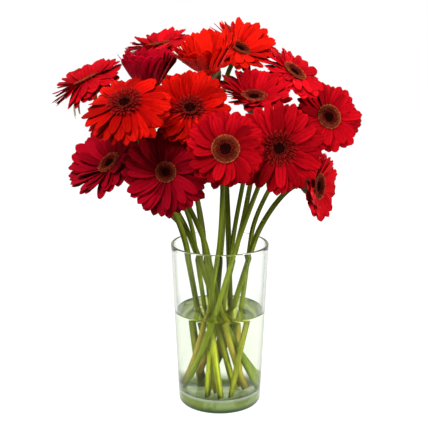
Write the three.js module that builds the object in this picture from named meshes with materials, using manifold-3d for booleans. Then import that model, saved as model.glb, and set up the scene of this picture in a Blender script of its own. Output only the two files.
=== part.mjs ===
// Gerberas in a vase: fifteen cut red gerberas standing in water in a clear, tapered glass vase.
// Millimetres, +Z up. The origin is the middle of the vase's flat foot, and the bouquet's front is -Y.
// Each gerbera is three pieces: a green stem with its calyx, the red petals in two layers, and the eye.

import * as THREE from "three";
import { mergeVertices } from "three/addons/utils/BufferGeometryUtils.js";
import Module from "manifold-3d";

const wasm = await Module();
wasm.setup();

// Vase
const VASE_HEIGHT = 205;
const RIM_RADIUS = 60;
const BASE_RADIUS = 51;
const FOOT_CORNER = 6;
const GLASS_WALL = 3;
const GLASS_FLOOR = 16;
const INNER_CORNER = 7;
const ROUND_SIDES = 40;
const CORNER_STEPS = 3;

// Water
const WATER_LEVEL = 120;
const REST_GAP = 0.3;

// Stems. The reaches are the furthest that a stem's middle stands from the vase's axis, on the
// floor and at the rim. A foot is turned about that axis by up to the side swing, in steps that
// don't repeat from one stem to the next, and stands only a share of that distance in depth.
const STEM_RADIUS = 3.2;
const STEM_RADIUS_SPREAD = 0.35;
const STEM_SIDES = 8;
const STEM_UPPER_RINGS = 6;
const HOLE_GAP = 0.33;
const HOLE_RUN_OUT = 1;
const FOOT_REACH = 38;
const FOOT_DEPTH_SHARE = 0.6;
const RIM_REACH = 51;
const SIDE_SWING = THREE.MathUtils.degToRad(40);
const SIDE_STEP = 2;
const STEM_SPACING = 8.4;
const SPACING_ROUNDS = 600;
const BOUQUET_HALF_WIDTH = 150;
const BOUQUET_HALF_DEPTH = 75;
const BOUQUET_MIDDLE_Y = -22;
const RIM_LEAD = 0.3;
const NECK_LEAD = 0.2;
const NECK_LEAD_UPRIGHT = 0.12;
const STEM_TAPER = 0.12;

// Flower heads
const PETALS_IN_LAYER = 14;
const PETAL_THICKNESS = 0.7;
const PETAL_WIDTH = 12.4;
const PETAL_SHARE_OF_PITCH = 0.86;
const PETAL_SWING = 2.4;
const PETAL_TWIST = 1.4;
const PETAL_LENGTH_SPREAD = 0.12;
const PETAL_LIFT_SPREAD = THREE.MathUtils.degToRad(6);
const PETAL_CURL_SPREAD = THREE.MathUtils.degToRad(9);
const ROOT_RADIUS = 14;
const UPPER_LAYER = -1;
const LAYER_DROP = 1.5;
const LAYER_FOLD = THREE.MathUtils.degToRad(9);
const HUB_RADIUS = 9;
const CALYX_DEPTH = 24;
const MIDDLE_LENGTH = 1.02;
const UPRIGHT = 0.95;

// A petal's width at places along it, as shares of its length and of its greatest width.
const PETAL_STATIONS = [
  [0.48, 1],
  [0.88, 0.95],
  [1, 0],
];

// The calyx from the stem's end to its rim: depth below the eye, and radius.
const CALYX_RINGS = [
  [-19.5, 5.2],
  [-14.5, 9.4],
  [-8.5, 12],
  [-3.5, 12.8],
];
const CALYX_HOLLOW = -5.2;
const CALYX_RIB = 0.12;

// The rings of an eye from its underside inwards: radius and height of even and of odd florets.
const EYE_UNDERSIDE = -0.7;
const EYE_MIDDLE = 1.1;
const EYE_SECTORS = 12;
const EYE_RELIEF = [
  [[12.9, -0.7], [12.9, -0.7]],
  [[13.3, 0.6], [13.3, 1.7]],
  [[10.2, 3.1], [10.2, 2.2]],
  [[6, 1.2], [6, 2.0]],
];
const TUFT_SECTORS = 28;
const TUFT_RELIEF = [
  [[12.9, -0.7], [12.6, -0.7]],
  [[22.5, 7.2], [14.2, 3.4]],
  [[12, 5.2], [11, 4.2]],
  [[6, 1.4], [6, 2.2]],
];

// Where each gerbera's eye is, which way the flower faces, how far its petals reach along their
// curve, how steeply they leave the eye, how they end, how much more those of one side stand up,
// and how far that side is turned from the back to the right. Angles are in degrees, and slopes
// are above the flower's own plane.
const BLOOMS = [
  { at: [-161.3, 24, 399.8], facing: [-0.43, -0.02, 0.9], reach: 47, rise: 8, curl: -4, fan: 28 },
  { at: [-84.9, 15, 396.5], facing: [0, -0.1, 0.99], reach: 55, rise: 68, curl: 67 },
  { at: [-78.1, 88, 438.7], facing: [-0.2, -0.02, 0.98], reach: 42, rise: 20, curl: 5, fan: 18 },
  { at: [-12.4, 4, 415.1], facing: [-0.22, -0.22, 0.95], reach: 55.5, rise: 62, curl: 58, fan: 10 },
  { at: [25.3, 92, 434.2], facing: [0.42, -0.36, 0.83], reach: 51, rise: 22, curl: 12, fan: 25, side: 45 },
  { at: [90.4, 43, 408.5], facing: [0.54, -0.36, 0.76], reach: 42, rise: 10, curl: -4, fan: 6 },
  { at: [135, 52, 352.3], facing: [0.35, -0.85, 0.4], reach: 45, rise: 14, curl: -8 },
  { at: [39.7, -14, 384], facing: [0.03, -0.36, 0.93], reach: 46, rise: 36, curl: 22, fan: 6 },
  { at: [-34, -50, 375.3], facing: [0, -0.75, 0.66], reach: 46, rise: 26, curl: 10, fan: 14 },
  { at: [-105.1, -81, 385], facing: [-0.15, -0.66, 0.735], reach: 51, rise: -8, curl: -26, fan: -2 },
  { at: [-130.7, -18, 306.5], facing: [-0.55, -0.46, 0.7], reach: 52, rise: 34, curl: 16, fan: 16 },
  { at: [-60.9, -72, 305.7], facing: [-0.05, -0.97, 0.2], reach: 50, rise: 12, curl: -12 },
  { at: [6, -95, 335.5], facing: [0.05, -0.95, 0.3], reach: 43, rise: 14, curl: -8 },
  { at: [66, -74, 332.8], facing: [0.1, -0.97, 0.2], reach: 52, rise: 12, curl: -10 },
  { at: [116.3, -20, 279.2], facing: [0.87, -0.49, 0.05], reach: 41, rise: 24, curl: 14 },
];

// Flowers that differ, by their number in the list: a tuft of short inner petals round the eye,
// a brighter or a darker red, and a stem that was cut short.
const TUFTED = [9, 10, 14];
const BRIGHT = [4, 5, 9, 10];
const DARK = [2, 11, 12];
const SHORT_STEM = 6;
const SHORT_STEM_LIFT = 22;
const SEED_STEP = 977;

// Finishes
const GLASS = { color: 0xdfe8d2, roughness: 0.05, metalness: 0 };
const WATER = { color: 0xc4cf9a, roughness: 0.05, metalness: 0 };
const STEM_GREEN = { color: 0x5d6a22, roughness: 0.6, metalness: 0 };
const EYE_BROWN = { color: 0x2a0d0c, roughness: 0.8, metalness: 0 };
const TUFT_CRIMSON = { color: 0x5e0a16, roughness: 0.8, metalness: 0 };
const BRIGHT_RED = { color: 0xc80a08, roughness: 0.55, metalness: 0 };
const MIDDLE_RED = { color: 0xa80818, roughness: 0.55, metalness: 0 };
const DARK_RED = { color: 0x78061a, roughness: 0.55, metalness: 0 };

// Numbers between 0 and 1 that come out the same on every build.
function seeded(seed) {
  let state = seed >>> 0;
  return () => {
    state = (state + 0x6d2b79f5) >>> 0;
    let mixed = Math.imul(state ^ (state >>> 15), state | 1);
    mixed ^= mixed + Math.imul(mixed ^ (mixed >>> 7), mixed | 61);
    return ((mixed ^ (mixed >>> 14)) >>> 0) / 2 ** 32;
  };
}

// A closed mesh from corner points and triangles, with its faces turned outwards.
function closedShape(points, triangles) {
  let volume = 0;
  for (const [a, b, c] of triangles) {
    volume += points[a].dot(new THREE.Vector3().crossVectors(points[b], points[c]));
  }
  const outward = volume > 0 ? triangles : triangles.map(([a, b, c]) => [a, c, b]);
  const geometry = new THREE.BufferGeometry().setFromPoints(points);
  geometry.setIndex(outward.flat());
  return geometry;
}

function asSolid(geometry) {
  return new wasm.Manifold(
    new wasm.Mesh({
      numProp: 3,
      vertProperties: new Float32Array(geometry.getAttribute("position").array),
      triVerts: new Uint32Array(geometry.getIndex().array),
    }),
  );
}

function asGeometry(solid) {
  const mesh = solid.getMesh();
  const geometry = new THREE.BufferGeometry();
  geometry.setAttribute("position", new THREE.BufferAttribute(mesh.vertProperties, 3));
  geometry.setIndex(new THREE.BufferAttribute(mesh.triVerts, 1));
  return geometry;
}

// A turned shape about the Z axis, from a profile of [radius, height] that starts and ends on it.
function turned(profile) {
  const lathe = new THREE.LatheGeometry(
    profile.map(([radius, height]) => new THREE.Vector2(radius, height)),
    ROUND_SIDES,
  );
  lathe.rotateX(Math.PI / 2);
  lathe.deleteAttribute("normal");
  lathe.deleteAttribute("uv");
  const merged = mergeVertices(lathe);
  const place = merged.getAttribute("position");
  const points = [];
  for (let i = 0; i < place.count; i += 1) {
    points.push(new THREE.Vector3().fromBufferAttribute(place, i));
  }
  const index = merged.getIndex().array;
  const triangles = [];
  for (let i = 0; i < index.length; i += 3) {
    const corners = [index[i], index[i + 1], index[i + 2]];
    if (new Set(corners).size === 3) {
      triangles.push(corners);
    }
  }
  return closedShape(points, triangles);
}

// A body drawn through rings of corner points, each end closed by a fan to its own middle point.
function lofted(rings, firstMiddle, lastMiddle) {
  const sides = rings[0].length;
  const points = rings.flat();
  const first = points.push(firstMiddle) - 1;
  const last = points.push(lastMiddle) - 1;
  const triangles = [];
  for (let side = 0; side < sides; side += 1) {
    const next = (side + 1) % sides;
    for (let ring = 0; ring + 1 < rings.length; ring += 1) {
      const low = ring * sides;
      const high = low + sides;
      triangles.push([low + side, low + next, high + next]);
      triangles.push([low + side, high + next, high + side]);
    }
    const top = (rings.length - 1) * sides;
    triangles.push([first, next, side]);
    triangles.push([last, top + side, top + next]);
  }
  return closedShape(points, triangles);
}

// A quarter of a circle about [radius, height], as [radius, height] points.
function corner(radius, height, size, fromAngle, toAngle) {
  const points = [];
  for (let step = 0; step <= CORNER_STEPS; step += 1) {
    const angle = fromAngle + ((toAngle - fromAngle) * step) / CORNER_STEPS;
    points.push([radius + size * Math.cos(angle), height + size * Math.sin(angle)]);
  }
  return points;
}

function outerRadius(height) {
  return BASE_RADIUS + ((RIM_RADIUS - BASE_RADIUS) * height) / VASE_HEIGHT;
}

// The vase is one glass: a thick flat floor, a rounded foot corner and a rounded rim.
function vaseShape() {
  const rimRound = GLASS_WALL / 2;
  const rimTop = VASE_HEIGHT - rimRound;
  const innerFoot = outerRadius(GLASS_FLOOR) - GLASS_WALL;
  return turned([
    [0, 0],
    ...corner(outerRadius(FOOT_CORNER) - FOOT_CORNER, FOOT_CORNER, FOOT_CORNER, -Math.PI / 2, 0),
    ...corner(RIM_RADIUS - rimRound, rimTop, rimRound, 0, Math.PI),
    ...corner(innerFoot - INNER_CORNER, GLASS_FLOOR + INNER_CORNER, INNER_CORNER, 0, -Math.PI / 2),
    [0, GLASS_FLOOR],
  ]);
}

// The water fills the vase to its level, a rest gap clear of the glass.
function waterBody() {
  const innerFoot = outerRadius(GLASS_FLOOR) - GLASS_WALL;
  const round = INNER_CORNER - REST_GAP;
  return turned([
    [0, GLASS_FLOOR + REST_GAP],
    ...corner(innerFoot - INNER_CORNER, GLASS_FLOOR + INNER_CORNER, round, -Math.PI / 2, 0),
    [outerRadius(WATER_LEVEL) - GLASS_WALL - REST_GAP, WATER_LEVEL],
    [0, WATER_LEVEL],
  ]);
}

// Pushes two straight stems apart at the height where they are nearest.
function separate(one, other) {
  const apart = one.foot.clone().sub(other.foot);
  const change = one.rim.clone().sub(other.rim).sub(apart);
  const share = THREE.MathUtils.clamp(-apart.dot(change) / change.lengthSq(), 0, 1);
  apart.addScaledVector(change, share);
  const distance = apart.length();
  if (distance < STEM_SPACING) {
    const push = (STEM_SPACING - distance) / (2 * distance * ((1 - share) ** 2 + share ** 2));
    one.foot.addScaledVector(apart, push * (1 - share));
    one.rim.addScaledVector(apart, push * share);
    other.foot.addScaledVector(apart, -push * (1 - share));
    other.rim.addScaledVector(apart, -push * share);
  }
}

// In the vase each stem is straight: it leans past the middle, up towards its flower. The stems
// are moved until every two are the spacing apart all the way up.
function stemLines() {
  const lines = BLOOMS.map(({ at }, index) => {
    const wide = at[0] / BOUQUET_HALF_WIDTH;
    const deep = (at[1] - BOUQUET_MIDDLE_Y) / BOUQUET_HALF_DEPTH;
    const rim = new THREE.Vector2(wide, deep).clampLength(0, 1).multiplyScalar(RIM_REACH);
    const foot = rim.clone().multiplyScalar(-FOOT_REACH / RIM_REACH);
    foot.rotateAround(new THREE.Vector2(), SIDE_SWING * Math.sin(SIDE_STEP * (index + 1)));
    foot.y *= FOOT_DEPTH_SHARE;
    return { foot, rim };
  });
  for (let round = 0; round < SPACING_ROUNDS; round += 1) {
    for (let i = 0; i < lines.length; i += 1) {
      for (let j = i + 1; j < lines.length; j += 1) {
        separate(lines[i], lines[j]);
      }
      lines[i].foot.clampLength(0, FOOT_REACH);
      lines[i].rim.clampLength(0, RIM_REACH);
    }
  }
  return lines;
}

function linePoint(line, height) {
  const share = (height - GLASS_FLOOR) / (VASE_HEIGHT - GLASS_FLOOR);
  const level = line.foot.clone().lerp(line.rim, share);
  return new THREE.Vector3(level.x, level.y, height);
}

function levelRing(middle, radius) {
  const ring = [];
  for (let side = 0; side < STEM_SIDES; side += 1) {
    const angle = (2 * Math.PI * side) / STEM_SIDES;
    ring.push(new THREE.Vector3(Math.cos(angle), Math.sin(angle), 0).multiplyScalar(radius).add(middle));
  }
  return ring;
}

// A ring square to its axis, its first corner as near as it can be to the given direction.
function squareRing(middle, axis, radius, first) {
  const across = first.clone().addScaledVector(axis, -first.dot(axis)).normalize();
  const along = new THREE.Vector3().crossVectors(axis, across);
  const ring = [];
  for (let side = 0; side < STEM_SIDES; side += 1) {
    const angle = (2 * Math.PI * side) / STEM_SIDES;
    const out = across.clone().multiplyScalar(radius * Math.cos(angle));
    ring.push(out.addScaledVector(along, radius * Math.sin(angle)).add(middle));
  }
  return ring;
}

function footHeight(number) {
  return GLASS_FLOOR + REST_GAP + (number === SHORT_STEM ? SHORT_STEM_LIFT : 0);
}

// Above the rim the stem bends out on a smooth curve and meets the flower square to its back.
function upperCurve(line, bloom) {
  const rim = linePoint(line, VASE_HEIGHT);
  const lean = rim.clone().sub(linePoint(line, GLASS_FLOOR)).normalize();
  const facing = new THREE.Vector3(...bloom.facing).normalize();
  const neck = new THREE.Vector3(...bloom.at).addScaledVector(facing, -CALYX_DEPTH);
  const span = neck.distanceTo(rim);
  return new THREE.CubicBezierCurve3(
    rim,
    rim.clone().addScaledVector(lean, RIM_LEAD * span),
    neck.clone().addScaledVector(facing, -(NECK_LEAD + NECK_LEAD_UPRIGHT * facing.z) * span),
    neck,
  );
}

// The calyx is a ribbed cup of green bracts, grown together with the stem.
function stemShape(line, bloom, number, radius) {
  const foot = linePoint(line, footHeight(number));
  const curve = upperCurve(line, bloom);
  const rings = [levelRing(foot, radius), levelRing(curve.getPoint(0), radius)];
  let first = new THREE.Vector3(1, 0, 0);
  for (let step = 1; step <= STEM_UPPER_RINGS; step += 1) {
    const along = step / STEM_UPPER_RINGS;
    const axis = curve.getTangent(along);
    const ring = squareRing(curve.getPoint(along), axis, radius * (1 - STEM_TAPER * along), first);
    first = ring[0].clone().sub(curve.getPoint(along));
    rings.push(ring);
  }
  const facing = new THREE.Vector3(...bloom.facing).normalize();
  const eye = new THREE.Vector3(...bloom.at);
  for (const [depth, size] of CALYX_RINGS) {
    const middle = eye.clone().addScaledVector(facing, depth);
    const ring = squareRing(middle, facing, size, first);
    ring.forEach((point, side) => {
      if (side % 2 === 1) {
        point.lerp(middle, CALYX_RIB);
      }
    });
    rings.push(ring);
  }
  return lofted(rings, foot, eye.clone().addScaledVector(facing, CALYX_HOLLOW));
}

// The straight hole that a stem stands in, open at the water's surface.
function stemHole(line, number, radius) {
  const below = number === SHORT_STEM ? REST_GAP : REST_GAP + HOLE_RUN_OUT;
  const low = linePoint(line, footHeight(number) - below);
  const high = linePoint(line, WATER_LEVEL + HOLE_RUN_OUT);
  return lofted([levelRing(low, radius + HOLE_GAP), levelRing(high, radius + HOLE_GAP)], low, high);
}

// The flower's own axes: u to its right, v up its face, w out of its face.
function flowerAxes(bloom) {
  const w = new THREE.Vector3(...bloom.facing).normalize();
  const u = new THREE.Vector3(-w.y, w.x, 0);
  if (w.z > UPRIGHT) {
    u.set(1, 0, 0).addScaledVector(w, -w.x);
  }
  u.normalize();
  return { u, v: new THREE.Vector3().crossVectors(w, u), w, eye: new THREE.Vector3(...bloom.at) };
}

function onFlower(axes, radius, angle, height) {
  return axes.eye
    .clone()
    .addScaledVector(axes.u, radius * Math.cos(angle))
    .addScaledVector(axes.v, radius * Math.sin(angle))
    .addScaledVector(axes.w, height);
}

// Adds one layer of petals, each leaving the round middle between two notches, and gives the
// notches of its upper and under faces. Both faces are split into triangles alike.
function addPetals(shape, axes, layer, random) {
  const { reach, height, rise, curl, fan, side, turn } = layer;
  const { points, triangles } = shape;
  const pitch = (2 * Math.PI) / PETALS_IN_LAYER;
  const notches = { upper: [], under: [] };
  for (let k = 0; k < PETALS_IN_LAYER; k += 1) {
    const angle = turn + k * pitch;
    notches.upper.push(points.push(onFlower(axes, ROOT_RADIUS, angle, height)) - 1);
    notches.under.push(points.push(onFlower(axes, ROOT_RADIUS, angle, height - PETAL_THICKNESS)) - 1);
  }
  const start = ROOT_RADIUS * Math.cos(pitch / 2);
  const steepest = Math.atan2(axes.v.y, axes.u.y) - side;
  for (let k = 0; k < PETALS_IN_LAYER; k += 1) {
    const middle = turn + (k + 0.5) * pitch;
    const swing = (random() - 0.5) * PETAL_SWING;
    const length = (reach - ROOT_RADIUS) * (MIDDLE_LENGTH + PETAL_LENGTH_SPREAD * (random() - 0.5));
    const slopeStart = rise + PETAL_LIFT_SPREAD * (random() - 0.5) + fan * Math.cos(middle - steepest);
    const twist = (random() - 0.5) * PETAL_TWIST;
    const slopeChange = curl - rise + PETAL_CURL_SPREAD * (random() - 0.5);
    let a = notches.upper[k];
    let b = notches.upper[(k + 1) % PETALS_IN_LAYER];
    for (const [along, share] of PETAL_STATIONS) {
      const slope = slopeStart + slopeChange * along;
      const mean = slopeStart + (slopeChange * along) / 2;
      const out = start + length * along * Math.cos(mean);
      const up = height + length * along * Math.sin(mean);
      const half = Math.min(PETAL_WIDTH, PETAL_SHARE_OF_PITCH * pitch * out) * (share / 2);
      const base = points.length;
      for (const edge of share > 0 ? [-1, 1] : [0]) {
        const radius = Math.hypot(out, edge * half);
        const angle = middle + (swing * along) / out + Math.atan2(edge * half, out);
        const rim = up + edge * twist * along;
        const inward = radius + PETAL_THICKNESS * Math.sin(slope);
        points.push(onFlower(axes, radius, angle, rim));
        points.push(onFlower(axes, inward, angle, rim - PETAL_THICKNESS * Math.cos(slope)));
      }
      const c = base;
      const d = share > 0 ? base + 2 : base;
      triangles.push([a, c, b], [a + 1, b + 1, c + 1], [a, a + 1, c + 1], [a, c + 1, c]);
      triangles.push([b, d, d + 1], [b, d + 1, b + 1]);
      if (d !== c) {
        triangles.push([b, c, d], [b + 1, d + 1, c + 1]);
      }
      [a, b] = [c, d];
    }
  }
  return notches;
}

function addHubRing(shape, axes, turn, height) {
  const ring = [];
  for (let k = 0; k < PETALS_IN_LAYER; k += 1) {
    const angle = turn + (2 * Math.PI * k) / PETALS_IN_LAYER;
    ring.push(shape.points.push(onFlower(axes, HUB_RADIUS, angle, height)) - 1);
  }
  return ring;
}

function addBand(shape, upper, lower) {
  upper.forEach((point, k) => {
    const next = (k + 1) % upper.length;
    shape.triangles.push([point, lower[k], upper[next]], [upper[next], lower[k], lower[next]]);
  });
}

function addFan(shape, ring, middle, facingUp) {
  const centre = shape.points.push(middle) - 1;
  ring.forEach((point, k) => {
    const next = ring[(k + 1) % ring.length];
    shape.triangles.push(facingUp ? [centre, point, next] : [centre, next, point]);
  });
}

// The petals are one piece: two layers, the lower one turned half a petal and folded further
// back, joined by the hub that they grow from.
function petalShape(bloom, random) {
  const axes = flowerAxes(bloom);
  const shape = { points: [], triangles: [] };
  const turn = random() * Math.PI;
  const rise = THREE.MathUtils.degToRad(bloom.rise);
  const curl = THREE.MathUtils.degToRad(bloom.curl);
  const fan = THREE.MathUtils.degToRad(bloom.fan ?? 0);
  const side = THREE.MathUtils.degToRad(bloom.side ?? 0);
  const upper = { reach: bloom.reach, height: UPPER_LAYER, rise, curl, fan, side, turn };
  const lower = {
    reach: bloom.reach + 1,
    height: UPPER_LAYER - LAYER_DROP,
    rise: rise - LAYER_FOLD,
    curl: curl - LAYER_FOLD,
    fan,
    side,
    turn: turn + Math.PI / PETALS_IN_LAYER,
  };
  const top = addPetals(shape, axes, upper, random);
  const bottom = addPetals(shape, axes, lower, random);
  const hubTop = addHubRing(shape, axes, turn, upper.height - PETAL_THICKNESS);
  const hubBottom = addHubRing(shape, axes, turn, lower.height);
  addFan(shape, top.upper, onFlower(axes, 0, 0, upper.height), true);
  addBand(shape, top.under, hubTop);
  addBand(shape, hubTop, hubBottom);
  addBand(shape, hubBottom, bottom.upper);
  addFan(shape, bottom.under, onFlower(axes, 0, 0, lower.height - PETAL_THICKNESS), false);
  return closedShape(shape.points, shape.triangles);
}

// The eye is a low dome of florets in relief: every second floret of a ring stands higher, and
// in a tufted flower every second one of the outer ring is a short pointed petal.
function eyeShape(bloom, tufted) {
  const axes = flowerAxes(bloom);
  const sectors = tufted ? TUFT_SECTORS : EYE_SECTORS;
  const rings = (tufted ? TUFT_RELIEF : EYE_RELIEF).map(([even, odd]) => {
    const ring = [];
    for (let sector = 0; sector < sectors; sector += 1) {
      const [radius, height] = sector % 2 === 0 ? even : odd;
      ring.push(onFlower(axes, radius, (2 * Math.PI * sector) / sectors, height));
    }
    return ring;
  });
  const under = onFlower(axes, 0, 0, EYE_UNDERSIDE);
  return lofted(rings, under, onFlower(axes, 0, 0, EYE_MIDDLE));
}

function redOf(number) {
  if (BRIGHT.includes(number)) {
    return BRIGHT_RED;
  }
  return DARK.includes(number) ? DARK_RED : MIDDLE_RED;
}

function addPiece(group, name, geometry, finish) {
  const mesh = new THREE.Mesh(geometry, new THREE.MeshStandardMaterial(finish));
  mesh.name = name;
  group.add(mesh);
}

const bouquet = new THREE.Group();
addPiece(bouquet, "vase", vaseShape(), GLASS);

const lines = stemLines();
let water = asSolid(waterBody());
BLOOMS.forEach((bloom, index) => {
  const number = index + 1;
  const label = String(number).padStart(2, "0");
  const random = seeded(number * SEED_STEP);
  const tufted = TUFTED.includes(number);
  const radius = STEM_RADIUS + (random() - 0.5) * 2 * STEM_RADIUS_SPREAD;
  water = water.subtract(asSolid(stemHole(lines[index], number, radius)));
  addPiece(bouquet, `stem_${label}`, stemShape(lines[index], bloom, number, radius), STEM_GREEN);
  addPiece(bouquet, `petals_${label}`, petalShape(bloom, random), redOf(number));
  addPiece(bouquet, `eye_${label}`, eyeShape(bloom, tufted), tufted ? TUFT_CRIMSON : EYE_BROWN);
});
addPiece(bouquet, "water", asGeometry(water), WATER);

export default bouquet;
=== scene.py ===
"""Fifteen red gerberas in a clear glass vase: the shapes and looks of petals, eyes, stems, glass and water.

Lengths are millimetres unless a comment says otherwise, and are turned into metres when a mesh is made.
"""

import math
import random
from typing import NamedTuple

import bpy
import numpy as np
from bpy.props import FloatProperty, FloatVectorProperty, IntProperty, PointerProperty
from mathutils import Matrix, Vector


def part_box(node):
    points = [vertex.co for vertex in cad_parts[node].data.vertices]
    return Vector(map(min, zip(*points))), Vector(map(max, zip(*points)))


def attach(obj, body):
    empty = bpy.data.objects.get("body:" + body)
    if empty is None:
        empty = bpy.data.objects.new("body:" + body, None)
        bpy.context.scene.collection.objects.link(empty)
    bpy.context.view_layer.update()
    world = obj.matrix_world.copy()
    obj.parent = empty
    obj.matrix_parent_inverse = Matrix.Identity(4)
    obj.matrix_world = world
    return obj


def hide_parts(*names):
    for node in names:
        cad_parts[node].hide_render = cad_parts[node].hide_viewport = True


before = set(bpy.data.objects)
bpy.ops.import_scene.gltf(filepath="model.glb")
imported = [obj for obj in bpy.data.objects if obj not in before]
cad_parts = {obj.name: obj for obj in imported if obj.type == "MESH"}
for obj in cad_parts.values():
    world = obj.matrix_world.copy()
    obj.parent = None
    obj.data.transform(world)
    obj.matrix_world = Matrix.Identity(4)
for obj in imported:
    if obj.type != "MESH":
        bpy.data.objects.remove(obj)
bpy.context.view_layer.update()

bl_info = {
    "name": "Gerberas in a Vase",
    "version": (1, 0, 0),
    "blender": (4, 5, 0),
    "location": "View3D > Sidebar > Gerberas",
    "description": "Builds fifteen cut gerberas standing in water in a clear glass vase",
    "category": "Object",
}

VASE_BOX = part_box("vase")
WATER_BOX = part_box("water")
MM = 0.001

# The stems, as the solids have them
FLOOR_HEIGHT = 16.0
RIM_HEIGHT = 205.0
FOOT_REACH = 38.0
FOOT_DEPTH_SHARE = 0.6
RIM_REACH = 51.0
SIDE_SWING = math.radians(40)
SIDE_STEP = 2.0
STEM_SPACING = 8.4
SPACING_ROUNDS = 600
BOUQUET_HALF_WIDTH = 150.0
BOUQUET_HALF_DEPTH = 75.0
BOUQUET_MIDDLE_Y = -22.0
RIM_LEAD = 0.3
NECK_LEAD = 0.2
NECK_LEAD_UPRIGHT = 0.12
STEM_TAPER = 0.12
CALYX_DEPTH = 24.0
SHORT_STEM_LIFT = 22.0
REST_GAP = 0.3
UPRIGHT = 0.95


class Flower(NamedTuple):
    """One gerbera: its eye's place, where it faces, its petals' reach and slopes in degrees, its red, whose
    bright and dark kinds are partly painted light and shade, how pale it is, a lightness painted on it to
    set how lit or shaded it looks, and the size of its eye and the width of its petals beside the others."""

    at: tuple
    facing: tuple
    reach: float
    rise: float
    curl: float
    fan: float = 0.0
    side: float = 0.0
    red: str = "middle"
    tone: float = 0.5
    tufted: bool = False
    short: bool = False
    eye: float = 1.0
    width: float = 1.0


FLOWERS = (
    Flower((-161.3, 24, 399.8), (-0.43, -0.02, 0.9), 47, 8, -4, fan=28, width=1.25),
    Flower((-84.9, 15, 396.5), (0, -0.1, 0.99), 55, 68, 67, red="dark", tone=0.9),
    Flower((-78.1, 88, 438.7), (-0.2, -0.02, 0.98), 42, 20, 5, fan=18, tone=0.65),
    Flower((-12.4, 4, 415.1), (-0.22, -0.22, 0.95), 55.5, 62, 58, fan=10, red="bright", tone=0.75),
    Flower((25.3, 92, 434.2), (0.42, -0.36, 0.83), 51, 22, 12, fan=25, side=45, red="bright", tone=0.66),
    Flower((90.4, 43, 408.5), (0.54, -0.36, 0.76), 42, 10, -4, fan=6, short=True, tone=0.72),
    Flower((135, 52, 352.3), (0.35, -0.85, 0.4), 45, 14, -8, tone=0.45),
    Flower((39.7, -14, 384), (0.03, -0.36, 0.93), 46, 36, 22, fan=6),
    Flower((-34, -50, 375.3), (0, -0.75, 0.66), 46, 26, 10, fan=14, red="bright", tufted=True, tone=0.34),
    Flower((-105.1, -81, 385), (-0.15, -0.66, 0.735), 51, -8, -26, fan=-2, red="bright",
           tufted=True, tone=0.34),
    Flower((-130.7, -18, 306.5), (-0.55, -0.46, 0.7), 52, 34, 16, fan=16, red="dark", tone=0.6, width=1.3),
    Flower((-60.9, -72, 305.7), (-0.05, -0.97, 0.2), 50, 12, -12, red="dark", tone=0.72, eye=0.76),
    Flower((6, -95, 335.5), (0.05, -0.95, 0.3), 43, 14, -8, tone=0.3),
    Flower((66, -74, 332.8), (0.1, -0.97, 0.2), 52, 12, -10, tufted=True, tone=0.35),
    Flower((116.3, -20, 279.2), (0.87, -0.49, 0.05), 41, 24, 14, tone=0.9),
)


class Row(NamedTuple):
    """A row of blades round a flower: petals, short inner petals or green bracts.

    A blade starts at a radius and a height from the eye, with one slope at its root and another at its
    tip. The fan makes blades steeper on one side of the flower, which the side turns. The arc is the share
    of a full round that the row fills. The rest shapes a blade's outline and its section.
    """

    count: int
    start: float
    height: float
    length: float
    width: float
    rise: float
    curl: float
    fan: float = 0.0
    side: float = 0.0
    root: float = 0.5
    tip: float = 0.13
    narrowing: float = 0.1
    teeth: float = 0.02
    thickness: float = 0.45
    groove: float = 0.0
    crown: float = 0.0
    tilt: float = 0.0
    ruffle: float = 0.0
    spread: float = 1.0
    turn: float = 0.0
    arc: float = 1.0
    along_steps: int = 12
    across_steps: int = 8


# Petal rows: the upper one, the lower one folded further back, and fewer and shorter petals inside. Heights
# are from the eye, turns are radians, and the tone is how far a flower's shade may differ from its own
ROW_START = 11.5
UPPER_HEIGHT = -1.2
LOWER_HEIGHT = -2.5
LOWER_FOLD = 5.0
LOWER_EXTRA = 1.0
INNER_HEIGHT = -0.7
INNER_LIFT = 7.0
INNER_REACH = 0.84
INNER_WIDTH = 0.8
INNER_TURN = 1.0
TONE_SPREAD = 0.05

# Petals that a flower has apart from its rows: pale ones that hang, and near ones that fold down
LOOSE_PETALS = {
    1: Row(3, 11.0, -4.0, 37, 3.2, -28, -80, arc=0.13, turn=math.radians(285), teeth=0.0, crown=-0.6),
    9: Row(6, ROW_START, -0.5, 37, 13.5, 20, -46, arc=0.30, turn=math.radians(190), groove=0.35, crown=1.7,
           tilt=1.3, ruffle=1.2, tip=0.16, narrowing=0.2),
}
# Their tone: on the ninth flower's folded petals it is a painted highlight where they bend into the light
LOOSE_TONE = 0.8
PALE_NUMBERS = (1,)

# How far the blades of a row differ from each other, times the row's own spread
TURN_SPREAD = 0.22
LENGTH_SPREAD = 0.07
RISE_SPREAD = 4.0
CURL_SPREAD = 8.0
WIDTH_SPREAD = 0.1
LEAN_SPREAD = 0.05

# How far they differ whatever the row's spread
TILT_SPREAD = 0.9
SHADE_SPREAD = 0.22
CROWN_RANGE = (-1.0, 0.5)
TEETH_RANGE = (0.3, 1.6)
TURN_RANGE = (0, 6)

# A blade's outline and section, in shares of its length and of half its width
TIP_CROWDING = 1.25
WIDEST_AT = 0.58
NARROWS_FROM = 0.62
TIP_ROUNDNESS = 2.3
TEETH_WAVES = 1.5
ROOT_CROWN = 0.9
TILT_GROWTH = 2.2
RUFFLE_WAVES = 5.2
GROOVE_PLACE = 0.36
GROOVE_WIDTH = 0.13
GROOVE_GROWTH = 6
RIB_WAVES = 7
RIB_SHARE = 0.3
RIB_GROWTH = 3
EDGE_THINNING = 0.55
TIP_THINNING = 0.4

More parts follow.
